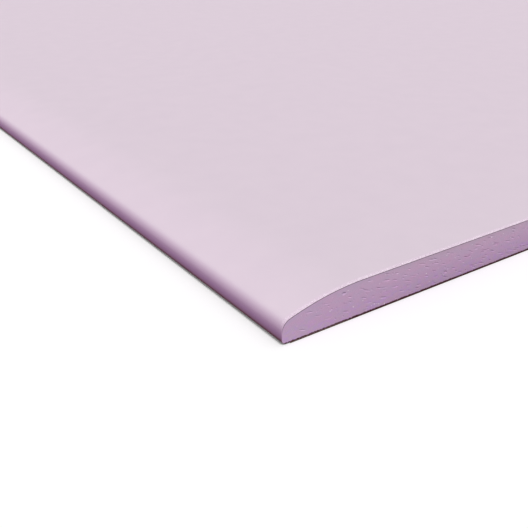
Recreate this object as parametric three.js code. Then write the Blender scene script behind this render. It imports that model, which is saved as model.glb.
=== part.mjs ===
// Tapered-edge drywall sheet: a gypsum core between two papers.
//
// The face paper is one sheet. It covers the face, turns down round both long edges and
// laps in under the back. The back paper covers the back and hides both laps. The two ends
// are cut square, so they show the core with the papers' edges round it.
//
// Units are millimetres. The sheet lies flat on its back paper: X runs across its width,
// Y along its length and Z up out of its face. The origin is the middle of its underside.

import * as THREE from 'three';

// Driving dimensions

const sheetWidth = 1219.2; // 4 ft, over both wrapped edges
const sheetLength = 2438.4; // 8 ft, from cut end to cut end
const sheetThickness = 12.7; // 1/2 in, over both papers

const facePaperThickness = 0.35;
const backPaperThickness = 0.35;

const taperWidth = 30; // from the edge in to where the face is level
const taperDepth = 5.2; // how far the face has dropped on the line of the edge
const noseRadius = 3.9; // turns the taper down into the upright edge
const heelRadius = 1.8; // turns the upright edge in under the back

const lapWidth = 25; // from the edge in to the end of the face paper's lap
const backPaperSetback = 3.2; // from the edge in to the side of the back paper

const taperSteps = 20; // facets along each curve of the edge
const noseSteps = 16;
const heelSteps = 8;

// The edge's section, seen along the sheet. The taper is one wide arc, level where it
// leaves the face and taperDepth lower on the line of the edge. The nose is a fillet
// between that arc and the upright edge, and the heel is a fillet between the edge and
// the back. On an edge too low for both of them, they shrink alike until they fit.

const edgeLine = -sheetWidth / 2;
const backLevel = backPaperThickness;
const edgeHeight = sheetThickness - taperDepth - backLevel;
const filletFit = Math.min(1, edgeHeight / (noseRadius + heelRadius));
const noseRound = noseRadius * filletFit;
const heelRound = heelRadius * filletFit;

const taperRadius = (taperWidth ** 2 + taperDepth ** 2) / (2 * taperDepth);
const taperCentre = new THREE.Vector2(edgeLine + taperWidth, sheetThickness - taperRadius);
const noseCentre = new THREE.Vector2(
  edgeLine + noseRound,
  taperCentre.y + Math.sqrt((taperRadius - noseRound) ** 2 - (taperWidth - noseRound) ** 2),
);
const heelCentre = new THREE.Vector2(edgeLine + heelRound, backLevel + heelRound);

// Where the nose runs into the taper, both arcs face the same way.
const shoulderAngle = noseCentre.clone().sub(taperCentre).angle();

function arc(centre, radius, fromAngle, toAngle, steps) {
  const curve = new THREE.EllipseCurve(
    centre.x, centre.y, radius, radius, fromAngle, toAngle, fromAngle > toAngle,
  );
  return curve.getPoints(steps);
}

// The left edge from the lap's end round to the face, as a line of points that lies
// `inset` inside the sheet's outer skin. The paper's two sides and the core's side all
// come from here, so paper and core meet point for point.
function edgeSection(inset) {
  const lapEnd = new THREE.Vector2(edgeLine + lapWidth, backLevel + inset);
  const heel = arc(heelCentre, heelRound - inset, 1.5 * Math.PI, Math.PI, heelSteps);
  const nose = arc(noseCentre, noseRound - inset, Math.PI, shoulderAngle, noseSteps);
  const taper = arc(taperCentre, taperRadius - inset, shoulderAngle, Math.PI / 2, taperSteps);
  return [lapEnd, ...heel, ...nose, ...taper.slice(1)];
}

// Both edges joined across the face, from the left lap's end to the right lap's end.
function wrappedSection(inset) {
  const left = edgeSection(inset);
  const right = left.map((point) => new THREE.Vector2(-point.x, point.y)).reverse();
  return [...left, ...right];
}

// Runs a section along the sheet, from one cut end to the other.
function runAlongSheet(name, section, material) {
  const shape = new THREE.Shape(section);
  const geometry = new THREE.ExtrudeGeometry(shape, { depth: sheetLength, bevelEnabled: false });
  geometry.rotateX(Math.PI / 2);
  geometry.translate(0, sheetLength / 2, 0);
  const mesh = new THREE.Mesh(geometry, material);
  mesh.name = name;
  return mesh;
}

// Pieces

function makeGypsumCore() {
  // The core fills the wrapper and comes down between the laps to meet the back paper.
  const section = [
    new THREE.Vector2(edgeLine + lapWidth, backLevel),
    ...wrappedSection(facePaperThickness),
    new THREE.Vector2(-edgeLine - lapWidth, backLevel),
  ];
  const material = new THREE.MeshStandardMaterial({ color: 0xb596b5, roughness: 0.95 });
  return runAlongSheet('gypsum_core', section, material);
}

function makeFacePaper() {
  const section = [...wrappedSection(0), ...wrappedSection(facePaperThickness).reverse()];
  const material = new THREE.MeshStandardMaterial({ color: 0xdccdd9, roughness: 0.8 });
  return runAlongSheet('face_paper', section, material);
}

function makeBackPaper() {
  const side = edgeLine + backPaperSetback;
  const section = [
    new THREE.Vector2(side, 0),
    new THREE.Vector2(side, backPaperThickness),
    new THREE.Vector2(-side, backPaperThickness),
    new THREE.Vector2(-side, 0),
  ];
  const material = new THREE.MeshStandardMaterial({ color: 0xa38d78, roughness: 0.9 });
  return runAlongSheet('back_paper', section, material);
}

const drywallSheet = new THREE.Group();
drywallSheet.add(makeGypsumCore(), makeFacePaper(), makeBackPaper());

export default drywallSheet;
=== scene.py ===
# %% [markdown]
# # A sheet of drywall, close up at one corner
#
# Drywall is a slab of foamed gypsum between two papers. The pale violet face paper wraps round
# both long edges, and each edge dips towards its rim so that joint tape can lie in the hollow
# between two sheets. The brown back paper is glued over the turned-in laps. The ends are cut
# square, so the gypsum shows only there.
#
# The sizes come from the CAD frame, which holds three nodes: the core and the two papers. This
# lesson adds what a close look finds: pits and nicks in the cut gypsum, a painted contact shadow
# at its foot, a pinker rim along the paper's cut with painted shade and painted glints, its
# fibres, and painted light and shade round the long edges.

# %% Load the frame
import math
from itertools import accumulate

import bmesh
import bpy
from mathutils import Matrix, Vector
from mathutils.geometry import delaunay_2d_cdt


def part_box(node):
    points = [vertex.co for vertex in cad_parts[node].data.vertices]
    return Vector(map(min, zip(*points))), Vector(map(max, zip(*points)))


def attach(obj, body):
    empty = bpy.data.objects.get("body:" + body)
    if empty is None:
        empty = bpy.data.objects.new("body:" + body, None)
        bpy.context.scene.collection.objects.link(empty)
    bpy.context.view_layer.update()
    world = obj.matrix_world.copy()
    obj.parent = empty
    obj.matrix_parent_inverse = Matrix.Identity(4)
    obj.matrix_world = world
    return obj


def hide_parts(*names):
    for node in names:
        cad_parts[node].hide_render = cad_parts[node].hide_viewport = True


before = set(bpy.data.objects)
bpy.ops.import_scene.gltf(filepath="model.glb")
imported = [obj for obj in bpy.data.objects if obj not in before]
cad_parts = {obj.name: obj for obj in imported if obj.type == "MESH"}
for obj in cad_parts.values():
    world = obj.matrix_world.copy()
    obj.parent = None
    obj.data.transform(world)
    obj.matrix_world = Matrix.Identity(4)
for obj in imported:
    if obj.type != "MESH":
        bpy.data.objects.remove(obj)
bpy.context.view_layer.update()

MM = 0.001  # the frame is in metres, and a sheet's details are in millimetres

core_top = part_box("gypsum_core")[1].z
back_low, back_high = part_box("back_paper")
half_width, half_length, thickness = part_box("face_paper")[1]
print(f"sheet {2 * half_width / MM:.1f} x {2 * half_length / MM:.1f} x {thickness / MM:.1f} mm")
print(f"face paper {(thickness - core_top) / MM:.2f} mm, back paper {back_high.z / MM:.2f} mm")

# %% [markdown]
# ## The camera
#
# The sheet is too large to show whole and still see its edge, so a normal lens stands close over
# one corner and looks down from the left. There it sees the face, the wrapped long edge and the
# cut end. A camera looks along its own -Z axis, so it is first tipped up from the floor by its X
# turn, and then turned to the right by its Z turn.

# %% Camera
CAMERA_PLACE = Vector((-713.9, -1360.0, 115.4)) * MM
LOOK_RIGHT_OF_LENGTH = math.radians(34.9)
LOOK_DOWN = math.radians(26.94)
LENS = 50.0
SENSOR_WIDTH = 36.0
NEAREST_SEEN = 10 * MM


def add_object(name, data):
    """Put a new object in the scene, at the origin."""
    thing = bpy.data.objects.new(name, data)
    bpy.context.scene.collection.objects.link(thing)
    return thing


camera = add_object("corner_camera", bpy.data.cameras.new("corner_camera"))
camera.data.lens = LENS
camera.data.sensor_width = SENSOR_WIDTH
camera.data.clip_start = NEAREST_SEEN
camera.location = CAMERA_PLACE
camera.rotation_euler = (math.pi / 2 - LOOK_DOWN, 0.0, -LOOK_RIGHT_OF_LENGTH)
bpy.context.scene.camera = camera
print(f"camera {CAMERA_PLACE.z / MM:.0f} mm over the floor")

# %% [markdown]
# ## Building node trees in code
#
# Every finish below is a tree of nodes. A tree is started, and all nodes that follow go into it.
# One small helper adds a node, sets its properties and fills its inputs: a plain value is set,
# and another node's socket is wired. So each tree reads from top to bottom, as a recipe does.

# %% One helper that adds a node
def start_tree(tree):
    """Empty a tree, and from here on add nodes to it."""
    global started_tree
    started_tree = tree
    tree.nodes.clear()


def add_node(kind, inputs=(), **properties):
    """Add a node. Its inputs go by name or by place, and each takes a value or a wire."""
    node = started_tree.nodes.new(kind)
    for name, value in properties.items():
        setattr(node, name, value)
    for name, value in inputs.items() if isinstance(inputs, dict) else enumerate(inputs):
        if isinstance(value, bpy.types.NodeSocket):
            started_tree.links.new(value, node.inputs[name])
        else:
            node.inputs[name].default_value = value
    return node


def result_of(kind, inputs=(), **properties):
    """Add a node and give its first output."""
    return add_node(kind, inputs, **properties).outputs[0]


# %% Helpers for sums, vectors and masks
UNIT = (0.0, 1.0)
FALLING = (1.0, 0.0)


def calculate(operation, first, second=0.5):
    """A Math node's result."""
    return result_of("ShaderNodeMath", (first, second), operation=operation)


def multiply(first, second):
    """The product of two values or masks."""
    return calculate("MULTIPLY", first, second)


def remap(value, before, after=UNIT, smooth=False):
    """Carry a value from one span to the same share of another, and hold it at both ends."""
    curve = "SMOOTHSTEP" if smooth else "LINEAR"
    return result_of("ShaderNodeMapRange", (value, *before, *after), interpolation_type=curve)


def part_of(vector, axis):
    """One part of a vector."""
    return add_node("ShaderNodeSeparateXYZ", {"Vector": vector}).outputs[axis]


def vector_of(x=0.0, y=0.0, z=0.0):
    """A vector from its parts."""
    return result_of("ShaderNodeCombineXYZ", (x, y, z))


# %% Helpers for colours
# The colour sockets of a Mix node share their names with its other kinds, so they go by place.
MIX_FACTOR, MIX_A, MIX_B, MIX_RESULT = 0, 6, 7, 2
WHITE = (1.0, 1.0, 1.0, 1.0)
NO_TINT = (1.0, 1.0, 1.0)


def mix_colours(factor, first, second, blend="MIX"):
    """A Mix node's colour."""
    inputs = {MIX_FACTOR: factor, MIX_A: first, MIX_B: second}
    node = add_node("ShaderNodeMix", inputs, data_type="RGBA", blend_type=blend)
    return node.outputs[MIX_RESULT]


def tinted(colour, mask, tint_at_0, tint_at_1):
    """A colour multiplied by a tint that a mask picks."""
    tint = mix_colours(mask, (*tint_at_0, 1.0), (*tint_at_1, 1.0))
    return mix_colours(1.0, colour, tint, "MULTIPLY")


def colour_by_distance(distance, stops):
    """A colour ramp over a distance. Each stop is a distance in millimetres and the colour there."""
    places = [place * MM for place, colour in stops]
    first, last = places[0], places[-1]
    node = add_node("ShaderNodeValToRGB", {"Fac": remap(distance, (first, last))})
    elements = node.color_ramp.elements
    for place in places[1:-1]:
        elements.new((place - first) / (last - first))
    for element, (place, colour) in zip(elements, stops):
        element.color = (*colour, 1.0)
    return node.outputs["Color"]


# %% Helpers for materials
def start_material(name):
    """A new material, with its tree started."""
    material = bpy.data.materials.new(name)
    material.use_nodes = True
    start_tree(material.node_tree)
    return material


def set_surface(shader):
    """End a material's tree with a shader."""
    add_node("ShaderNodeOutputMaterial", {"Surface": shader})


def seen_directly():
    """A mask that is 1 for what the camera, a reflection or a clear material looks at."""
    rays = add_node("ShaderNodeLightPath").outputs
    camera_or_gloss = calculate("MAXIMUM", rays["Is Camera Ray"], rays["Is Glossy Ray"])
    return calculate("MAXIMUM", camera_or_gloss, rays["Is Transmission Ray"])


# %% [markdown]
# ## Light
#
# The sheet is pale and matt, so its form shows only by soft shading. One very soft sun stands
# high on the left and in front, and an even sky fills the rest. On a level face the two come to
# 1 together, so that a colour renders as it is written. A Light Path mask gives the camera and
# reflections a brighter, white sky than the one that lights the sheet.
#
# A weaker fill, as small as a point, stands level with the sheet on its far side. It only skims
# the face and the floor, and keeps the two sides that the key misses from sinking into the dark.

# %% Suns
KEY_FROM = Vector((-0.15, -0.43, 0.55))  # its Z is the light that it gives a level face
KEY_WIDTH = math.radians(25)
FILL_FROM = Vector((0.15, 0.22, 0.0))


def add_sun(name, towards_sun, width):
    """A sun. The vector points to it, and its length is the light on a face turned to it."""
    sun = add_object(name, bpy.data.lights.new(name, "SUN"))
    sun.data.energy = math.pi * towards_sun.length
    sun.data.angle = width
    sun.rotation_euler = towards_sun.to_track_quat("Z", "Y").to_euler()


add_sun("key_sun", KEY_FROM, KEY_WIDTH)
add_sun("fill_sun", FILL_FROM, 0.0)
print(f"the key gives a level face {KEY_FROM.z:.2f}")

# %% Sky
SKY_STRENGTH = 0.45  # the rest of the light on a level face

world = bpy.data.worlds.new("studio")
bpy.context.scene.world = world
world.use_nodes = True
start_tree(world.node_tree)
sky_strength = remap(seen_directly(), UNIT, (SKY_STRENGTH, 1.0))
sky_light = result_of("ShaderNodeBackground", {"Color": WHITE, "Strength": sky_strength})
add_node("ShaderNodeOutputWorld", {"Surface": sky_light})
print(f"the sky gives a level face {SKY_STRENGTH:.2f}")

# %% [markdown]
# ## Floor
#
# A white floor would throw so much light back up that the wrapped edge would lose its shade. So
# the camera sees a white floor that takes the sheet's contact shadow, and the light that bounces
# off it finds a dark one. A little glow lifts the white just past 1, so that it stays clean.
#
# The underside can be looked at too: the floor is clear from below, and light gets in through
# an opening under the sheet, a little smaller than the sheet.

# %% Floor material
FLOOR_SEEN = (0.95, 0.95, 0.95, 1.0)
FLOOR_GLOW = 0.08
FLOOR_BOUNCE = (0.12, 0.12, 0.12, 1.0)


def make_floor_material():
    material = start_material("studio_floor")
    white = result_of("ShaderNodeBsdfDiffuse", {"Color": FLOOR_SEEN})
    glow = result_of("ShaderNodeEmission", {"Color": WHITE, "Strength": FLOOR_GLOW})
    lit = result_of("ShaderNodeAddShader", (white, glow))
    dark = result_of("ShaderNodeBsdfDiffuse", {"Color": FLOOR_BOUNCE})
    above = result_of("ShaderNodeMixShader", (seen_directly(), dark, lit))
    clear = result_of("ShaderNodeBsdfTransparent")
    from_below = add_node("ShaderNodeNewGeometry").outputs["Backfacing"]
    set_surface(result_of("ShaderNodeMixShader", (from_below, above, clear)))
    return material


floor_material = make_floor_material()
print("material", floor_material.name)

# %% Floor piece
FLOOR_SIZE = 60.0
UNDER_LONG_EDGE = 2.2 * MM  # how far the floor runs in under the sheet's sides
UNDER_CUT_END = 1.0 * MM


def rectangle(half_x, half_y):
    """The four corners of a rectangle on the floor, anticlockwise from above."""
    return [(x * half_x, y * half_y, 0.0) for x, y in ((-1, -1), (1, -1), (1, 1), (-1, 1))]


floor_mesh = bpy.data.meshes.new("studio_floor")
floor_rim = rectangle(FLOOR_SIZE / 2, FLOOR_SIZE / 2)
opening = rectangle(half_width - UNDER_LONG_EDGE, half_length - UNDER_CUT_END)
floor_sides = [(i, (i + 1) % 4, 4 + (i + 1) % 4, 4 + i) for i in range(4)]
floor_mesh.from_pydata(floor_rim + opening, [], floor_sides)
floor_mesh.materials.append(floor_material)
floor = add_object("studio_floor", floor_mesh)
print(f"floor {FLOOR_SIZE:.0f} m across, of {len(floor_mesh.polygons)} faces")

# %% [markdown]
# ## Reading the section from a cut end
#
# The CAD nodes are faceted solids, so a cut end already holds the exact outline of each layer.
# The faces that look along -Y make up that end. Where one borders a face that looks elsewhere,
# its rim is the outline, and the rim's corners are walked in order. A CAD mesh is loose
# triangles, so a copy is welded first, and the CAD's own mesh is never changed.

# %% A welded copy
WELD = 0.001 * MM


def welded_copy(node_name):
    """A node's mesh as a bmesh in which neighbouring triangles share their corners."""
    shape = bmesh.new()
    shape.from_mesh(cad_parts[node_name].data)
    bmesh.ops.remove_doubles(shape, verts=shape.verts, dist=WELD)
    shape.normal_update()
    print(f"{node_name}: {len(shape.verts)} corners after welding")
    return shape


# %% The outline of a cut end
SQUARE = 0.9999  # the length along Y of a normal that is square enough


def cut_end_outline(node_name):
    """The corners round a node's front cut end as (x, z), anticlockwise seen from in front."""
    shape = welded_copy(node_name)
    end_faces = {face for face in shape.faces if face.normal.y < -SQUARE}
    following = {side.vert: side.link_loop_next.vert for face in end_faces for side in face.loops
                 if side.link_loop_radial_next.face not in end_faces}
    lowest = min(corner.co.z for corner in following)
    left_foot = [c for c in following if c.co.x < 0 and c.co.z < lowest + WELD]
    outline = [max(left_foot, key=lambda corner: corner.co.x)]
    while following[outline[-1]] is not outline[0]:
        outline.append(following[outline[-1]])
    corners = [Vector((corner.co.x, corner.co.z)) for corner in outline]
    shape.free()
    return corners


face_outline = cut_end_outline("face_paper")
print("the face paper's outline has", len(face_outline), "corners")

# %% [markdown]
# The face paper's outline is a long, thin C. It starts at the tip of the left lap, runs along
# the inside of the paper to the tip of the right lap, and comes back along the outside. So half
# of it is the glued side and half is the skin, and the two pair off across the thickness.

# %% The face paper's two sides
half_count = len(face_outline) // 2
glued_side = face_outline[1:half_count + 1]
skin_side = [face_outline[0]] + face_outline[:half_count:-1]
thicknesses = [(skin - glued).length / MM for skin, glued in zip(skin_side, glued_side)]
print(f"{half_count} pairs, {min(thicknesses):.3f} to {max(thicknesses):.3f} mm apart")

# %% [markdown]
# The paper's colour changes at the shoulder, where the gentle taper ends and the round rim
# begins. On the section that is the first stretch from the middle that slopes more steeply than
# the taper ever does. Each point gets its distance past the shoulder, measured along the paper:
# less than zero on the face, more on the rim and on the lap.

# %% Distance past the shoulder
STEEPEST_TAPER = math.radians(20.5)


def distance_past_shoulder(side):
    """How far each point lies past the nearer shoulder, in metres."""
    steps = [there - here for here, there in zip(side, side[1:])]
    lengths = list(accumulate((step.length for step in steps), initial=0.0))
    turned_down = [length for step, length in zip(steps, lengths[1:])
                   if step.y > math.sin(STEEPEST_TAPER) * step.length]
    left_shoulder = max(length for length in turned_down if length < lengths[-1] / 2)
    right_shoulder = lengths[-1] - left_shoulder
    return [max(left_shoulder - length, length - right_shoulder) for length in lengths]


past_shoulder = distance_past_shoulder(skin_side)
print(f"the paper runs on {past_shoulder[0] / MM:.1f} mm past each shoulder")

# %% [markdown]
# ## Papers as lofts
#
# Each paper keeps one section from end to end, so it is a loft: copies of the section are set
# along the length and joined. A blade leaves the paper's outer arris a little rounded, and that
# thin rounding catches the light along the cut. So a few extra sections close to each end draw
# the skin in along a quarter circle, and one more behind them keeps the bend out of the long
# flat faces.

# %% Where the sections stand
ARRIS_RADIUS = 0.07 * MM
ARRIS_STEPS = 3


def loft_stations():
    """Places along the length, each with the depth to which the skin is drawn in there."""
    front = []
    for step in range(ARRIS_STEPS + 1):
        turn = math.pi / 2 * step / ARRIS_STEPS
        front.append((ARRIS_RADIUS * (1 - math.cos(turn)), ARRIS_RADIUS * (1 - math.sin(turn))))
    front.append((2 * ARRIS_RADIUS, 0.0))
    near_end = [(inset - half_length, depth) for inset, depth in front]
    far_end = [(half_length - inset, depth) for inset, depth in reversed(front)]
    return near_end + far_end


places = [round((place + half_length) / MM, 3) for place, depth in loft_stations()]
print("first sections at", places[:ARRIS_STEPS + 2], "mm")

# %% [markdown]
# Two numbers are kept on every corner as attributes that a material can read: how deep it lies
# in the paper, from 0 at the skin to 1 at the glue, and its distance past the shoulder. They
# follow the paper wherever it bends, which no pattern in space could do.

# %% One section of a loft
def add_section(shape, place, drawn_in, skin_line, glued_line, distances):
    """Add a section's corners: along the skin, then back along the glued side."""
    depth_layer = shape.verts.layers.float["depth_in_paper"]
    distance_layer = shape.verts.layers.float["past_shoulder"]
    skin = []
    glued = []
    for skin_point, glued_point, distance in zip(skin_line, glued_line, distances):
        share = drawn_in / (glued_point - skin_point).length
        for depth, corners in ((share, skin), (1.0, glued)):
            point = skin_point.lerp(glued_point, depth)
            corner = shape.verts.new((point.x, place, point.y))
            corner[depth_layer] = depth
            corner[distance_layer] = distance
            corners.append(corner)
    return skin + glued[::-1]


# %% [markdown]
# The skin is smooth and the cut faces are flat, so an edge that turns by more than thirty
# degrees is marked sharp. The cut faces take a material of their own.

# %% Loft helper
SHARP_ANGLE = math.radians(30)


def add_piece(name, shape, finishes):
    """Turn a bmesh into a piece with its finishes."""
    mesh = bpy.data.meshes.new(name)
    shape.to_mesh(mesh)
    shape.free()
    for finish in finishes:
        mesh.materials.append(finish)
    print(f"{name}: {len(mesh.polygons)} faces")
    return add_object(name, mesh)


def close_section(shape, section):
    """Fill a section with a strip of four-sided faces from the skin to the glued side."""
    last = len(section) - 1
    for i in range(len(section) // 2 - 1):
        cut = shape.faces.new((section[i], section[i + 1], section[last - i - 1], section[last - i]))
        cut.material_index = 1


def loft_paper(name, skin_line, glued_line, distances, finishes):
    """Loft a paper along the sheet, with its depth and its distances as attributes."""
    shape = bmesh.new()
    for attribute in ("depth_in_paper", "past_shoulder"):
        shape.verts.layers.float.new(attribute)
    sections = [add_section(shape, place, drawn_in, skin_line, glued_line, distances)
                for place, drawn_in in loft_stations()]
    for near, far in zip(sections, sections[1:]):
        for i in range(len(near)):
            shape.faces.new((near[i - 1], near[i], far[i], far[i - 1])).smooth = True
    close_section(shape, sections[0])
    close_section(shape, sections[-1])
    bmesh.ops.recalc_face_normals(shape, faces=shape.faces)
    for edge in shape.edges:
        edge.smooth = edge.calc_face_angle(0.0) < SHARP_ANGLE
    return add_piece(name, shape, finishes)


# %% [markdown]
# ## Effects that several finishes share
#
# Three effects turn up in more than one finish, so each is a node group that is built once and
# placed with its own values. Groups give out only masks, and the shaders stay in the materials.
# All three start from stretched noise: its place is divided by the size of a grain along each
# axis before the noise is looked up.

# %% Group helpers
def add_sockets(side, names):
    """Give the started tree named sockets, from the names of each kind."""
    for kind, kind_names in names.items():
        for name in kind_names:
            started_tree.interface.new_socket(name, in_out=side, socket_type="NodeSocket" + kind)


def build_group(name, sizes, masks, recipe):
    """A shader group that takes a place and sizes, and gives the masks that its recipe makes."""
    group = bpy.data.node_groups.new(name, "ShaderNodeTree")
    start_tree(group)
    add_sockets("INPUT", {"Vector": ("Place",), "Float": sizes})
    add_sockets("OUTPUT", {"Float": masks})
    add_node("NodeGroupOutput", recipe(add_node("NodeGroupInput").outputs))
    print("group", name, "with", len(group.nodes), "nodes")
    return group


def add_group(group, inputs):
    """Place a shared effect with its own values, and give its outputs."""
    return add_node("ShaderNodeGroup", inputs, node_tree=group).outputs


def stretched_noise(place, size, detail=2.0, turn=0.0):
    """Noise turned about Z, whose grains have a size in metres, for each axis or for all."""
    turned = result_of("ShaderNodeVectorRotate", {"Vector": place, "Angle": turn})
    scaled = result_of("ShaderNodeVectorMath", (turned, size), operation="DIVIDE")
    return result_of("ShaderNodeTexNoise", {"Vector": scaled, "Detail": detail})


# %% [markdown]
# *Paper fibres* lie mostly along the sheet, the way the paper machine runs, and a second set
# crosses them at a slant. *Clouds* are soft and large, where the pulp was a little thicker.

# %% Paper fibre group
CROSS_FIBRE_TURN = math.radians(64)
FIBRE_STRETCH = 9.0
CLOUD_DETAIL = 3.0
FIBRE_EDGE = (0.45, 0.75)  # between these two values of the noise the mask rises
NOISE_EDGE = (0.3, 0.7)


def paper_fibre_recipe(given):
    place = given["Place"]
    width = given["Fibre Width"]
    fibre_size = vector_of(width, multiply(width, FIBRE_STRETCH), width)
    along = stretched_noise(place, fibre_size)
    across = stretched_noise(place, fibre_size, turn=CROSS_FIBRE_TURN)
    fibres = calculate("MAXIMUM", along, across)
    clouds = stretched_noise(place, given["Cloud Size"], CLOUD_DETAIL)
    return remap(fibres, FIBRE_EDGE), remap(clouds, NOISE_EDGE)


paper_fibres = build_group(
    "paper_fibres", ("Fibre Width", "Cloud Size"), ("Fibres", "Clouds"), paper_fibre_recipe)

# %% [markdown]
# *Drag marks* are streaks across the cut end, because the blade crossed it from one long edge
# to the other, a little on the slant. With them comes the fine *grain* of what it cut.

# %% Drag mark group
BLADE_SLANT = math.radians(18)


def drag_mark_recipe(given):
    slanted = result_of("ShaderNodeVectorRotate", {"Vector": given["Place"], "Angle": -BLADE_SLANT},
                        rotation_type="Y_AXIS")
    length = given["Mark Length"]
    streaks = stretched_noise(slanted, vector_of(length, length, given["Mark Width"]))
    grain = stretched_noise(given["Place"], given["Grain Size"])
    return remap(streaks, NOISE_EDGE), remap(grain, NOISE_EDGE)


drag_marks = build_group(
    "drag_marks", ("Mark Length", "Mark Width", "Grain Size"), ("Streaks", "Grain"), drag_mark_recipe)

# %% [markdown]
# *The foot shadow* is the dark line at the foot of every cut end: a painted contact shadow where
# the sheet meets what it lies on. The core and both cut papers share it, as a mask by height.

# %% Painted foot shadow group
# The colour of the painted contact shadow at the foot of every cut end.
FOOT_SHADOW_COLOUR = (0.070, 0.023, 0.028, 1.0)
# Full painted shadow up to the first height, and none past the second.
FOOT_SHADOW_EDGE = (0.72 * MM, 0.96 * MM)  # all glue up to the first, and none past the second
FOOT_SHADOW_WAVER = (-0.15 * MM, 0.15 * MM)
FOOT_SHADOW_WAVE_SIZE = Vector((2.5, 2.5, 2.5)) * MM


def foot_shadow_recipe(given):
    waver = remap(stretched_noise(given["Place"], FOOT_SHADOW_WAVE_SIZE), NOISE_EDGE, FOOT_SHADOW_WAVER)
    height = calculate("ADD", part_of(given["Place"], "Z"), waver)
    return [remap(height, FOOT_SHADOW_EDGE, FALLING, smooth=True)]


foot_shadow = build_group("foot_shadow", (), ("Mask",), foot_shadow_recipe)


def with_painted_foot_shadow(place, colour):
    """A colour with a painted contact shadow at its foot."""
    mask = add_group(foot_shadow, {"Place": place})["Mask"]
    return mix_colours(mask, colour, FOOT_SHADOW_COLOUR)


# %% Helpers for finishes
def distance_from_sides(place, axis, reach):
    """How far in a point lies from the nearer of two opposite sides, in metres."""
    return calculate("SUBTRACT", reach, calculate("ABSOLUTE", part_of(place, axis)))


def make_finish(name, recipe, *colours, gloss, relief_depth, relief_strength):
    """A matt material. Its recipe gives colour, roughness and relief at a place on the piece."""
    material = start_material(name)
    place = add_node("ShaderNodeTexCoord").outputs["Object"]
    colour, roughness, relief = recipe(place, *colours)
    bump = result_of("ShaderNodeBump", {
        "Strength": relief_strength, "Distance": relief_depth, "Height": relief})
    set_surface(result_of("ShaderNodeBsdfPrincipled", {
        "Base Color": colour, "Roughness": roughness, "Specular IOR Level": gloss, "Normal": bump}))
    print("material", name)
    return material


# %% [markdown]
# ## The finish of the face paper
#
# The face paper is smooth, matt and almost even, which is what makes it good to paint. Its
# violet is a dye in the pulp, and clouds and fibres a percent or so lighter and darker keep it
# from looking like plastic. Round the long edges light and shade are painted into the colour: a
# painted light over the taper and the shoulder, a deeper violet of painted shade down the rim,
# and the darkest painted shade on the heel, the low corner on which the sheet rests. A colour
# ramp over the distance past the shoulder gives that.

# %% Face paper colours
# Open face and taper; shoulder; round rim; upright; heel; lap. Millimetres past the shoulder.
# The ramp paints light and shade: lighter to the shoulder, darker down the rim, darkest on the heel, then
# the paper's own violet on the lap.
PAPER_VIOLETS_AND_EDGE_LIGHT = (
    (-24.0, (0.706, 0.601, 0.684)),
    (0.0, (0.745, 0.622, 0.719)),
    (0.8, (0.752, 0.620, 0.729)),
    (2.7, (0.673, 0.488, 0.652)),
    (4.8, (0.655, 0.392, 0.640)),
    (5.8, (0.545, 0.294, 0.550)),
    (6.8, (0.436, 0.214, 0.388)),
    (7.5, (0.200, 0.074, 0.108)),
    (8.4, (0.190, 0.074, 0.098)),
    (10.2, (0.716, 0.595, 0.690)),
)
CLOUD_TINTS = ((0.988, 0.988, 0.990), (1.010, 1.010, 1.008))
FIBRE_TINTS = ((0.990, 0.990, 0.990), (1.012, 1.012, 1.012))


def paper_violet_with_painted_edge_light(pulp):
    """The violet with painted light and painted shade by its distance past the shoulder, clouded and
    fibred.
    """
    distance = add_node("ShaderNodeAttribute", attribute_name="past_shoulder").outputs["Fac"]
    violet = colour_by_distance(distance, PAPER_VIOLETS_AND_EDGE_LIGHT)
    clouded = tinted(violet, pulp["Clouds"], *CLOUD_TINTS)
    return tinted(clouded, pulp["Fibres"], *FIBRE_TINTS)


# %% [markdown]
# For a couple of millimetres along each cut the paper is a shade pinker. Right beside the cut,
# small dents here and there get painted shade, and now and then a fleck gets a painted glint of
# light. One noise gives both: its lows shade, its highs glint. The marks fade out round the
# shoulder, and none reach low on the long edges.

# %% Rim along the cut: pinker band, painted shade, painted glints
RIM_EDGE = (0.1 * MM, 2.4 * MM)  # from the cut, all pink up to the first
RIM_TINT = (1.05, 0.965, 1.045)
FLECK_EDGE = (0.8 * MM, 1.6 * MM)
FLECK_SIZE = Vector((0.9, 1.1, 0.9)) * MM
# Painted shade in small dents beside the cut, and painted glints on flecks.
DENT_SHADE_NOISE = (0.46, 0.34)
DENT_SHADE_TINT = (0.80, 0.78, 0.80)
FLECK_NOISE = (0.54, 0.59)
FLECK_GLINT = (1.0, 0.90, 0.985, 1.0)
# No painted shade or glints up to the first height, and all of them past the second.
RIM_MARK_HEIGHT = (5.5 * MM, 8.4 * MM)  # no scuffs up to the first, and all past the second


def rim_tint_shade_and_glints(place, violet):
    """The paper's violet, pinker along the cuts, with painted shade in dents and painted glints on flecks
    beside them, and a mask of the flecks.
    """
    inset = distance_from_sides(place, "Y", half_length)
    rim_marked = remap(part_of(place, "Z"), RIM_MARK_HEIGHT)
    near_cut = multiply(remap(inset, RIM_EDGE, FALLING, smooth=True), rim_marked)
    beside_cut = multiply(remap(inset, FLECK_EDGE, FALLING), rim_marked)
    rim_noise = stretched_noise(place, FLECK_SIZE, detail=1.0)
    dent_shade = multiply(remap(rim_noise, DENT_SHADE_NOISE), beside_cut)
    flecks = multiply(remap(rim_noise, FLECK_NOISE), beside_cut)
    pinker = tinted(violet, near_cut, NO_TINT, RIM_TINT)
    dent_shaded = tinted(pinker, dent_shade, NO_TINT, DENT_SHADE_TINT)
    return mix_colours(flecks, dent_shaded, FLECK_GLINT), flecks


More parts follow.
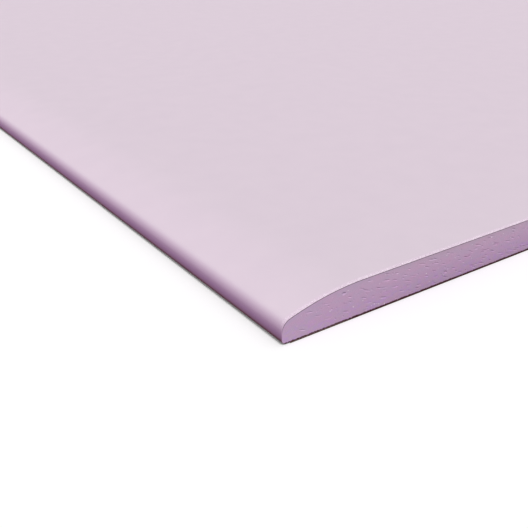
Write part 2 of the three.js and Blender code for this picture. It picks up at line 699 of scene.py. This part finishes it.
# %% Face paper material
FACE_PULP = {"Fibre Width": 0.12 * MM, "Cloud Size": 60 * MM}
FACE_ROUGHNESS = (0.72, 0.86)
FACE_SURFACE = {"gloss": 0.25, "relief_depth": 0.02 * MM, "relief_strength": 0.25}


def face_paper_recipe(place):
    pulp = add_group(paper_fibres, {"Place": place, **FACE_PULP})
    violet, flecks = rim_tint_shade_and_glints(place, paper_violet_with_painted_edge_light(pulp))
    roughness = remap(pulp["Fibres"], UNIT, FACE_ROUGHNESS)
    return violet, roughness, calculate("ADD", pulp["Fibres"], flecks)


face_finish = make_finish("violet_face_paper", face_paper_recipe, **FACE_SURFACE)

# %% [markdown]
# ## The finish of a cut paper edge
#
# Paper this thick is pressed from several plies. Its cut edge is duller than its face, because
# the inner plies are grey recycled pulp, and a blade leaves the plies as fine lines. A wave over
# the depth that the loft stored draws them. Low on the long edges the cut paper is as pale as the
# core, and higher up it is darker. One recipe serves both papers.

# %% Cut edge materials
PLY_COUNT = 5.0
PLY_LINE = (0.08, 0.06, 0.07, 1.0)
PLY_LINE_STRENGTH = 0.3
DYED_DEPTH = (0.0, 0.35)  # the dye of the skin goes in as far as the second
# Pale up to the first height, and the plain cut colour past the second.
PALE_LOW_HEIGHT = (4.2 * MM, 6.6 * MM)  # soaked up to the first, and dry past the second
PALE_LOW_VIOLET = (0.62, 0.415, 0.62, 1.0)
CUT_EDGE_MARKS = {"Mark Length": 3 * MM, "Mark Width": 0.2 * MM, "Grain Size": 0.3 * MM}
CUT_EDGE_ROUGHNESS = (0.85, 0.97)
CUT_EDGE_SURFACE = {"gloss": 0.1, "relief_depth": 0.05 * MM, "relief_strength": 0.4}
FACE_SKIN_AND_PULP = ((0.34, 0.24, 0.32, 1.0), (0.29, 0.21, 0.275, 1.0))
BACK_SKIN_AND_PULP = ((0.09, 0.055, 0.05, 1.0), (0.12, 0.075, 0.065, 1.0))


def cut_edge_recipe(place, skin_colour, pulp_colour):
    depth = add_node("ShaderNodeAttribute", attribute_name="depth_in_paper").outputs["Fac"]
    body = mix_colours(remap(depth, DYED_DEPTH), skin_colour, pulp_colour)
    plies = calculate("PINGPONG", multiply(depth, 2 * PLY_COUNT), 1.0)
    lined = mix_colours(multiply(plies, PLY_LINE_STRENGTH), body, PLY_LINE)
    pale_low = remap(part_of(place, "Z"), PALE_LOW_HEIGHT, FALLING)
    # The foot of the cut gets the same painted contact shadow as the core.
    colour = with_painted_foot_shadow(place, mix_colours(pale_low, lined, PALE_LOW_VIOLET))
    marks = add_group(drag_marks, {"Place": place, **CUT_EDGE_MARKS})
    return colour, remap(marks["Streaks"], UNIT, CUT_EDGE_ROUGHNESS), marks["Grain"]


face_cut_finish = make_finish("cut_face_paper", cut_edge_recipe, *FACE_SKIN_AND_PULP, **CUT_EDGE_SURFACE)
back_cut_finish = make_finish("cut_back_paper", cut_edge_recipe, *BACK_SKIN_AND_PULP, **CUT_EDGE_SURFACE)

# %% [markdown]
# ## The wrapped face paper
#
# With its section, its loft and its finishes ready, the face paper is one call.

# %% Face paper piece
wrapped_face_paper = loft_paper(
    "wrapped_face_paper", skin_side, glued_side, past_shoulder, (face_finish, face_cut_finish))
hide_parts("face_paper")
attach(wrapped_face_paper, "root")

# %% [markdown]
# ## The back paper
#
# The back paper is brown recycled pulp, rougher than the face and more mixed: its clouds and
# fibres are stronger, and dark specks of shive and old print are scattered through it. Each
# speck is the middle of a cell in a Voronoi pattern.

# %% Back paper material
BACK_BROWN = (0.366, 0.266, 0.188, 1.0)
BACK_PULP = {"Fibre Width": 0.18 * MM, "Cloud Size": 35 * MM}
BACK_CLOUD_TINTS = ((0.960, 0.955, 0.950), (1.040, 1.040, 1.045))
BACK_FIBRE_TINTS = ((0.960, 0.960, 0.960), (1.060, 1.055, 1.050))
SPECK_BROWN = (0.13, 0.09, 0.06, 1.0)
SPECK_SPACING = 9 * MM
SPECK_EDGE = (0.035, 0.06)  # as shares of the spacing
SPECK_STRENGTH = 0.6
BACK_ROUGHNESS = (0.8, 0.95)
BACK_SURFACE = {"gloss": 0.15, "relief_depth": 0.03 * MM, "relief_strength": 0.35}


def cells_around(place, spacing):
    """The outputs of a Voronoi pattern with its cells about a spacing apart."""
    return add_node("ShaderNodeTexVoronoi", {"Scale": 1 / spacing, "Vector": place}).outputs


def back_paper_recipe(place):
    pulp = add_group(paper_fibres, {"Place": place, **BACK_PULP})
    clouded = tinted(BACK_BROWN, pulp["Clouds"], *BACK_CLOUD_TINTS)
    brown = tinted(clouded, pulp["Fibres"], *BACK_FIBRE_TINTS)
    distance = cells_around(place, SPECK_SPACING)["Distance"]
    specks = remap(distance, SPECK_EDGE, (SPECK_STRENGTH, 0.0))
    roughness = remap(pulp["Fibres"], UNIT, BACK_ROUGHNESS)
    return mix_colours(specks, brown, SPECK_BROWN), roughness, pulp["Fibres"]


back_finish = make_finish("brown_back_paper", back_paper_recipe, **BACK_SURFACE)

# %% [markdown]
# The back paper lies flat, so its section is a plain strip whose skin looks down. It has no
# shoulder, and its second attribute is left at zero.

# %% Back paper piece
back_skin, back_glued = [[Vector((back_low.x, height)), Vector((back_high.x, height))]
                         for height in (back_low.z, back_high.z)]
brown_back_paper = loft_paper(
    "brown_back_paper", back_skin, back_glued, (0.0, 0.0), (back_finish, back_cut_finish))
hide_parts("back_paper")
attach(brown_back_paper, "root")

# %% [markdown]
# ## Pits and nicks in the cut core
#
# Gypsum core is a set foam. A cut opens its bubbles as small round pits, and the blade drags
# loose grains along, which leaves short nicks on the slant. Both repeat by the hundred, so
# Geometry Nodes scatter them: points are spread over the cut ends, a small rounded cutter is set
# on each, and a mesh boolean takes the cutters out of the core. One tree does it all, and each
# kind of mark gives it other values.
#
# End Place is how far from the middle a face must lie to be a cut end, Squeeze how much closer
# marks stand across the slant than along it, Margin how far they keep from the rims once
# squeezed, and Stand Off how far out of the cut a cutter stands, as a share of its depth.

# %% Inputs of the marking tree
MARK_INPUTS = {
    "Geometry": ("Core",),
    "Float": ("End Place", "Squeeze", "Spacing", "Cluster Size", "Margin", "Stand Off", "Slant",
              "Slant Spread"),
    "Vector": ("Smallest", "Largest"),
    "Int": ("Cutter Sides", "Cutter Rings", "Seed"),
    "Material": ("Finish",),
}

# %% [markdown]
# The first stage finds the cut ends and their rims. An end's faces look straight along the
# sheet and lie at its end, not at the bottom of a pit. Once they stand alone, their rim is
# every edge that has only one face.

# %% Random values
# The sockets of a Random Value node share their names, so each kind's go by place.
RANDOM_SOCKETS = {"FLOAT_VECTOR": (0, 1, 0), "FLOAT": (2, 3, 1)}


def random_value(kind, low, high, seed):
    """A Random Value node's result."""
    low_socket, high_socket, result = RANDOM_SOCKETS[kind]
    inputs = {low_socket: low, high_socket: high, "Seed": seed}
    return add_node("FunctionNodeRandomValue", inputs, data_type=kind).outputs[result]


# %% Stage one: the cut ends
def selected(geometry, selection, domain):
    """The selected part of a geometry."""
    return result_of("GeometryNodeSeparateGeometry", (geometry, selection), domain=domain)


def cut_ends_and_rims(core, end_place):
    """The faces of the two cut ends, and the edges round them."""
    tests = []
    for vector, least in (("Position", end_place), ("Normal", SQUARE)):
        along = part_of(result_of("GeometryNodeInput" + vector), "Y")
        tests.append(calculate("GREATER_THAN", calculate("ABSOLUTE", along), least))
    ends = selected(core, multiply(*tests), "FACE")
    face_count = add_node("GeometryNodeInputMeshEdgeNeighbors").outputs["Face Count"]
    return ends, selected(ends, calculate("LESS_THAN", face_count, 2.0), "EDGE")


# %% [markdown]
# The second stage scatters points. A nick is longer than it is high and lies on the slant, but
# a scatter keeps the same distance all round. So the ends are turned until the slant is level
# and squeezed along it, which makes a nick about as long as it is high. There the points are
# scattered, and those too near a rim are dropped. Then they are stretched and turned back. So
# nicks keep more room end to end than side by side.

# %% Stage two: the points
DENSE_ENOUGH = 5.0e6  # so many tries in a square metre fill every gap


def transformed(geometry, **changes):
    """A geometry turned or scaled."""
    return result_of("GeometryNodeTransform", {"Geometry": geometry, **changes})


def points_without(points, dropped):
    """The points without those that a test picks."""
    return result_of("GeometryNodeDeleteGeometry", (points, dropped), domain="POINT")


def scattered_points(ends, rims, given):
    """Points on the cut ends, off the rims, and further apart along the slant than across it."""
    turn_level = vector_of(y=multiply(given["Slant"], -1.0))
    squeeze = vector_of(given["Squeeze"], 1.0, 1.0)
    level_ends, level_rims = [
        transformed(transformed(geometry, Rotation=turn_level), Scale=squeeze)
        for geometry in (ends, rims)]
    points = result_of("GeometryNodeDistributePointsOnFaces", {
        "Mesh": level_ends, "Distance Min": given["Spacing"], "Density Max": DENSE_ENOUGH,
        "Seed": given["Seed"]}, distribute_method="POISSON")
    nearness = add_node("GeometryNodeProximity", (level_rims,), target_element="EDGES")
    too_near = calculate("LESS_THAN", nearness.outputs["Distance"], given["Margin"])
    stretch = vector_of(calculate("DIVIDE", 1.0, given["Squeeze"]), 1.0, 1.0)
    return transformed(points_without(points, too_near),
                       Rotation=vector_of(y=given["Slant"]), Scale=stretch)


# %% [markdown]
# The third stage thins them out. More points were scattered than are wanted, and a lot drops
# over half of them, because marks that only keep their distance look laid out. Noise gathers the
# rest into clusters. The foam near the back paper, where bubbles gather while the sheet sets face
# down, keeps the most. The hard edges under the wrapped paper, which are cast denser, keep none.

# %% Stage three: thinning
FOAMY_HEIGHT = (1.5 * MM, 4 * MM)
MOST_LEFT = 0.42  # the share of the points kept where marks crowd
FEWEST_LEFT = 0.08  # between the clusters, as a share of that
CLUSTER_EDGE = (0.45, 0.54)
HARD_EDGE = (3 * MM, 14 * MM)  # no marks up to the first, and all past the second


def thinned_points(points, given):
    """The points that draw a lot below the share kept where they are."""
    position = result_of("GeometryNodeInputPosition")
    noise = stretched_noise(position, given["Cluster Size"])
    crowding = remap(noise, CLUSTER_EDGE, (FEWEST_LEFT, 1.0))
    foamy = remap(part_of(position, "Z"), FOAMY_HEIGHT, FALLING)
    inset = distance_from_sides(position, "X", half_width)
    most = remap(inset, HARD_EDGE, (0.0, MOST_LEFT))
    kept_share = multiply(calculate("MAXIMUM", crowding, foamy), most)
    lot = random_value("FLOAT", 0.0, 1.0, calculate("ADD", given["Seed"], 2.0))
    return points_without(points, calculate("GREATER_THAN", lot, kept_share))


# %% [markdown]
# The fourth stage sets a cutter on each point: a sphere of a few dozen faces, stretched by a
# random size along each axis and slanted by a random turn.

# %% Stage four: the cutters
def cutters_on_points(points, given):
    """A slanted, rounded cutter on every point. Cutters that stand off cut dishes."""
    ball = result_of("GeometryNodeMeshUVSphere", {
        "Segments": given["Cutter Sides"], "Rings": given["Cutter Rings"], "Radius": 1.0})
    level_ball = transformed(ball, Rotation=(0.0, math.pi / 2, 0.0))
    size = random_value("FLOAT_VECTOR", given["Smallest"], given["Largest"], given["Seed"])
    along = part_of(result_of("GeometryNodeInputPosition"), "Y")
    standing_off = multiply(part_of(size, "Y"), given["Stand Off"])
    offset = vector_of(y=multiply(standing_off, calculate("SIGN", along)))
    stood_off = result_of("GeometryNodeSetPosition", {"Geometry": points, "Offset": offset})
    least_slant = calculate("SUBTRACT", given["Slant"], given["Slant Spread"])
    most_slant = calculate("ADD", given["Slant"], given["Slant Spread"])
    slant_seed = calculate("ADD", given["Seed"], 1.0)
    slant = random_value("FLOAT", least_slant, most_slant, slant_seed)
    return result_of("GeometryNodeInstanceOnPoints", {
        "Points": stood_off, "Instance": level_ball, "Rotation": vector_of(y=slant), "Scale": size})


# %% [markdown]
# The last stage takes the cutters out of the core. Every input is closed, so the fast Manifold
# solver can do it. The cutters go in as instances, each a mesh of its own, because two that
# overlapped within one mesh would be cut out wrongly.

# %% The whole marking tree
def build_mark_cutter():
    tree = bpy.data.node_groups.new("mark_cutter", "GeometryNodeTree")
    start_tree(tree)
    add_sockets("INPUT", MARK_INPUTS)
    add_sockets("OUTPUT", {"Geometry": ("Core",)})
    given = add_node("NodeGroupInput").outputs
    ends, rims = cut_ends_and_rims(given["Core"], given["End Place"])
    points = thinned_points(scattered_points(ends, rims, given), given)
    cutters = cutters_on_points(points, given)
    cut = result_of("GeometryNodeMeshBoolean", {"Mesh 1": given["Core"], "Mesh 2": cutters},
                    operation="DIFFERENCE", solver="MANIFOLD")
    whole = result_of("GeometryNodeRealizeInstances", (cut,))
    finished = result_of("GeometryNodeSetMaterial", {"Geometry": whole, "Material": given["Finish"]})
    add_node("NodeGroupOutput", (finished,))
    return tree


mark_cutter = build_mark_cutter()
print("tree", mark_cutter.name, "with", len(mark_cutter.nodes), "nodes")

# %% [markdown]
# ## The finish of the core
#
# The core is the same violet as the paper but deeper and greyer, chalky and dead matt. It is
# painted darker low down, a painted shade from what the sheet lies on, and painted paler for a
# few centimetres along each long edge, a painted light that reaches in round the corner. Patches
# a centimetre across lean to pink or to grey, and low ones lean to blue.

# %% Core colours
# Darker towards the bottom: painted shade from what the sheet lies on.
CORE_VIOLETS_SHADED_LOW = (  # by height over the floor, in millimetres
    (0.35, (0.520, 0.342, 0.512)),
    (3.0, (0.562, 0.372, 0.560)),
    (5.0, (0.584, 0.388, 0.582)),
    (7.0, (0.606, 0.402, 0.600)),
    (9.0, (0.630, 0.424, 0.616)),
    (11.2, (0.624, 0.438, 0.604)),
    (12.2, (0.596, 0.432, 0.576)),
)
# Paler near each long edge: painted light that reaches in round the corner.
CORE_PAINTED_LIGHT_NEAR_LONG_EDGE = (0.655, 0.447, 0.655, 1.0)
PAINTED_LIGHT_REACH = (0.0, 60 * MM)
PATCH_SIZE = Vector((15, 15, 7)) * MM
PATCH_EDGE = (0.35, 0.65)
PATCH_TINTS = ((1.035, 0.985, 1.0), (0.97, 1.01, 1.005))
BLUE_PATCH_SIZE = Vector((9, 9, 5)) * MM
BLUE_PATCH_HEIGHT = (3 * MM, 7 * MM)
BLUE_PATCH_EDGE = (0.49, 0.6)
BLUE_TINT = (1.0, 0.935, 1.10)


def colour_core(place):
    """The core's violet by its place on the cut, with painted shade low down and painted light near the
    long edges, in patches.
    """
    height = part_of(place, "Z")
    lit_near_edge = remap(distance_from_sides(place, "X", half_width), PAINTED_LIGHT_REACH, FALLING)
    violet = mix_colours(lit_near_edge, colour_by_distance(height, CORE_VIOLETS_SHADED_LOW), CORE_PAINTED_LIGHT_NEAR_LONG_EDGE)
    patches = remap(stretched_noise(place, PATCH_SIZE), PATCH_EDGE)
    low = remap(height, BLUE_PATCH_HEIGHT, FALLING)
    blue = remap(stretched_noise(place, BLUE_PATCH_SIZE, detail=1.0), BLUE_PATCH_EDGE)
    patched = tinted(violet, patches, *PATCH_TINTS)
    return tinted(patched, multiply(low, blue), NO_TINT, BLUE_TINT)


# %% [markdown]
# On top come painted light and shade along the blade's fine streaks, pale crumbs that are also
# painted as glints, and painted shade in the pits, deeper by how far a point lies behind the cut.
# A crumb is the middle of a Voronoi cell. The cell's own random colour says how large it is, so
# that half of the cells have none.

# %% Marks on the core
# Painted light and shade along the blade's streaks, on top of their relief.
STREAK_PAINTED_LIGHT_AND_SHADE = ((0.855, 0.845, 0.855), (1.165, 1.175, 1.155))
BOTH_WAYS = (-1.0, 1.0)
SCRATCH_POWER = 3.0  # the higher, the fewer and crisper the scratches
# Pale crumbs, also painted as glints of light.
CRUMB_AND_GLINT_WHITE = (0.98, 0.90, 0.97, 1.0)
CRUMB_STRENGTH = 0.7
CRUMB_SPACING = 2.2 * MM
CRUMB_LOTS = (0.5, 1.0)  # no crumb up to the first, and the largest at the second
LARGEST_CRUMB = 0.15  # as a share of the spacing
# Painted shade in the pits.
PAINTED_PIT_SHADE = (0.79, 0.82, 0.82)
PIT_DEPTHS = (0.03 * MM, 0.35 * MM)


def mask_crumb_glints(place):
    """A mask of small round crumbs of many sizes, which are also painted as glints."""
    cells = cells_around(place, CRUMB_SPACING)
    size = remap(cells["Color"], CRUMB_LOTS, (0.0, LARGEST_CRUMB))
    return calculate("LESS_THAN", cells["Distance"], size)


def mark_core(place, violet, marks, crumb_glints):
    """The core's violet with painted light and shade on its streaks, crumbs painted as glints, painted
    shade in the pits and a painted contact shadow at its foot.
    """
    swing = remap(marks["Streaks"], UNIT, BOTH_WAYS)
    scratches = remap(calculate("POWER", swing, SCRATCH_POWER), BOTH_WAYS)
    streak_lit_and_shaded = tinted(violet, scratches, *STREAK_PAINTED_LIGHT_AND_SHADE)
    crumb_glinted = mix_colours(multiply(crumb_glints, CRUMB_STRENGTH), streak_lit_and_shaded, CRUMB_AND_GLINT_WHITE)
    depth = remap(distance_from_sides(place, "Y", half_length), PIT_DEPTHS)
    return with_painted_foot_shadow(place, tinted(crumb_glinted, depth, NO_TINT, PAINTED_PIT_SHADE))


# %% Core material
CORE_MARKS = {"Mark Length": 2.4 * MM, "Mark Width": 0.32 * MM, "Grain Size": 0.35 * MM}
GRAIN_RELIEF = 0.5  # as a share of the streaks' relief
CORE_ROUGHNESS = (0.88, 0.98)
CORE_SURFACE = {"gloss": 0.1, "relief_depth": 0.05 * MM, "relief_strength": 0.5}


def core_recipe(place):
    marks = add_group(drag_marks, {"Place": place, **CORE_MARKS})
    crumb_glints = mask_crumb_glints(place)
    violet = mark_core(place, colour_core(place), marks, crumb_glints)
    grain = multiply(marks["Grain"], GRAIN_RELIEF)
    relief = calculate("ADD", calculate("ADD", marks["Streaks"], grain), crumb_glints)
    return violet, remap(marks["Grain"], UNIT, CORE_ROUGHNESS), relief


core_finish = make_finish("cast_gypsum", core_recipe, **CORE_SURFACE)

# %% [markdown]
# ## Cutting the core
#
# Three kinds of marks are cut one after the other: nicks on the blade's slant, a few large
# bubbles, and many small ones. Sizes are half-lengths: along the width, into the cut, and up.

# %% The kinds of marks
MARK_KINDS = {
    "nicks": {
        "Squeeze": 0.26, "Spacing": 0.54 * MM, "Cluster Size": 8 * MM, "Margin": 0.62 * MM,
        "Smallest": Vector((0.7, 0.28, 0.20)) * MM, "Largest": Vector((2.1, 0.58, 0.42)) * MM,
        "Stand Off": 0.45, "Slant": 0.33, "Slant Spread": 0.16,
        "Cutter Sides": 7, "Cutter Rings": 5, "Seed": 11},
    "large bubbles": {
        "Squeeze": 1.0, "Spacing": 3.6 * MM, "Cluster Size": 30 * MM, "Margin": 1.3 * MM,
        "Smallest": Vector((0.50, 0.35, 0.35)) * MM, "Largest": Vector((1.00, 0.60, 0.65)) * MM,
        "Stand Off": 0.2, "Slant": 0.0, "Slant Spread": 0.5,
        "Cutter Sides": 12, "Cutter Rings": 8, "Seed": 23},
    "small bubbles": {
        "Squeeze": 1.0, "Spacing": 1.37 * MM, "Cluster Size": 6 * MM, "Margin": 0.6 * MM,
        "Smallest": Vector((0.20, 0.14, 0.18)) * MM, "Largest": Vector((0.46, 0.30, 0.40)) * MM,
        "Stand Off": 0.3, "Slant": 0.0, "Slant Spread": 1.5,
        "Cutter Sides": 7, "Cutter Rings": 4, "Seed": 37},
}
print("kinds of marks:", ", ".join(MARK_KINDS))

# %% [markdown]
# A modifier knows a tree's inputs by their identifiers, so each is looked up by its name. The
# result is kept as the piece's plain mesh, and the modifier goes.

# %% Cutting helper
def cut_marks(piece, values):
    """Run the marking tree on a piece and keep the result as its plain mesh."""
    modifier = piece.modifiers.new("marks", "NODES")
    modifier.node_group = mark_cutter
    for item in mark_cutter.interface.items_tree:
        if item.in_out == "INPUT" and item.name in values:
            modifier[item.identifier] = values[item.name]
    evaluated = piece.evaluated_get(bpy.context.evaluated_depsgraph_get())
    result = bpy.data.meshes.new_from_object(evaluated)
    piece.modifiers.remove(modifier)
    piece.data = result


# %% [markdown]
# A boolean leaves what remains of a flat face as a few faces with thousands of corners, and those
# can't be parted into triangles reliably. So each cut end is taken off and filled afresh, between
# its own outline and the outlines of its marks. A Delaunay triangulation gives the most even
# triangles there are. It fills the marks as well, so the fill is walked from triangle to triangle,
# starting at the outlines and never crossing one, and only what the walk reaches is kept.

# %% Refilling helpers
ON_CUT = 0.0004 * MM
WITH_HOLES_FILLED = 1  # the kind of triangulation


def sides_of(triangle):
    """The three sides of a triangle, each from one corner's number to the next."""
    a, b, c = triangle
    return (a, b), (b, c), (c, a)


def reached_from(sides, triangles):
    """The triangles that lie along the sides, and all that join on to them within the sides."""
    owner = {side: triangle for triangle in triangles for side in sides_of(triangle)}
    reached = set()
    waiting = [owner.get(side) for side in sides]
    while waiting:
        triangle = waiting.pop()
        if triangle is not None and triangle not in reached:
            reached.add(triangle)
            waiting.extend(owner.get(side[::-1]) for side in sides_of(triangle) if side not in sides)
    return sorted(reached)


def refill_end(shape, end_place):
    """Fill a cut end afresh with triangles that run between the outlines on it."""
    flat = [face for face in shape.faces
            if all(abs(corner.co.y - end_place) < ON_CUT for corner in face.verts)]
    known = set(flat)
    rims = [side for face in flat for side in face.loops
            if side.link_loop_radial_next.face not in known]
    corners = list(dict.fromkeys(side.vert for side in rims))
    number = {corner: i for i, corner in enumerate(corners)}
    sides = {(number[side.vert], number[side.link_loop_next.vert]) for side in rims}
    bmesh.ops.delete(shape, geom=flat, context="FACES")
    as_seen = math.copysign(1.0, -end_place)
    places = [Vector((corner.co.x * as_seen, corner.co.z)) for corner in corners]
    filled = delaunay_2d_cdt(places, sorted(sides), [], WITH_HOLES_FILLED, 0.0)
    triangles, sources = filled[2], filled[3]
    kept = reached_from(sides, [tuple(sources[i][0] for i in triangle) for triangle in triangles])
    for triangle in kept:
        shape.faces.new([corners[i] for i in triangle])
    return len(kept)


def refill_ends(piece):
    """Fill both cut ends of a marked piece."""
    shape = bmesh.new()
    shape.from_mesh(piece.data)
    bmesh.ops.remove_doubles(shape, verts=shape.verts, dist=WELD)
    count = refill_end(shape, -half_length) + refill_end(shape, half_length)
    loose = sum(len(edge.link_faces) != 2 for edge in shape.edges)
    shape.to_mesh(piece.data)
    shape.free()
    print(f"  {count} triangles on the ends, {loose} loose edges")


# %% Core piece
SHALLOWEST_PIT = 0.1 * MM

gypsum_casting = add_piece("gypsum_casting", welded_copy("gypsum_core"), (core_finish,))
for kind, values in MARK_KINDS.items():
    before = len(gypsum_casting.data.polygons)
    cut_marks(gypsum_casting, {**values, "End Place": half_length - SHALLOWEST_PIT, "Finish": core_finish})
    refill_ends(gypsum_casting)
    print(f"{kind}: {before} -> {len(gypsum_casting.data.polygons)} faces")

# %% [markdown]
# The insides of the pits shade smoothly, and the cut plane stays flat, so that the pits' rims
# are crisp. A face belongs to a pit when its deepest corner lies a little behind the cut. Every
# other face has all its corners on the two cut planes.

# %% Core shading
BEHIND_CUT = 0.002 * MM

core_mesh = gypsum_casting.data
for polygon in core_mesh.polygons:
    nearest_middle = min(abs(core_mesh.vertices[corner].co.y) for corner in polygon.vertices)
    polygon.use_smooth = half_length - nearest_middle > BEHIND_CUT
triangles = sum(len(polygon.vertices) - 2 for polygon in core_mesh.polygons)
print("gypsum_casting has", triangles, "triangles")
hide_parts("gypsum_core")
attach(gypsum_casting, "root")

# %% [markdown]
# ## View transform
#
# The view transform is Standard, so that colours come out as written.

# %% Finish
bpy.context.scene.view_settings.view_transform = "Standard"
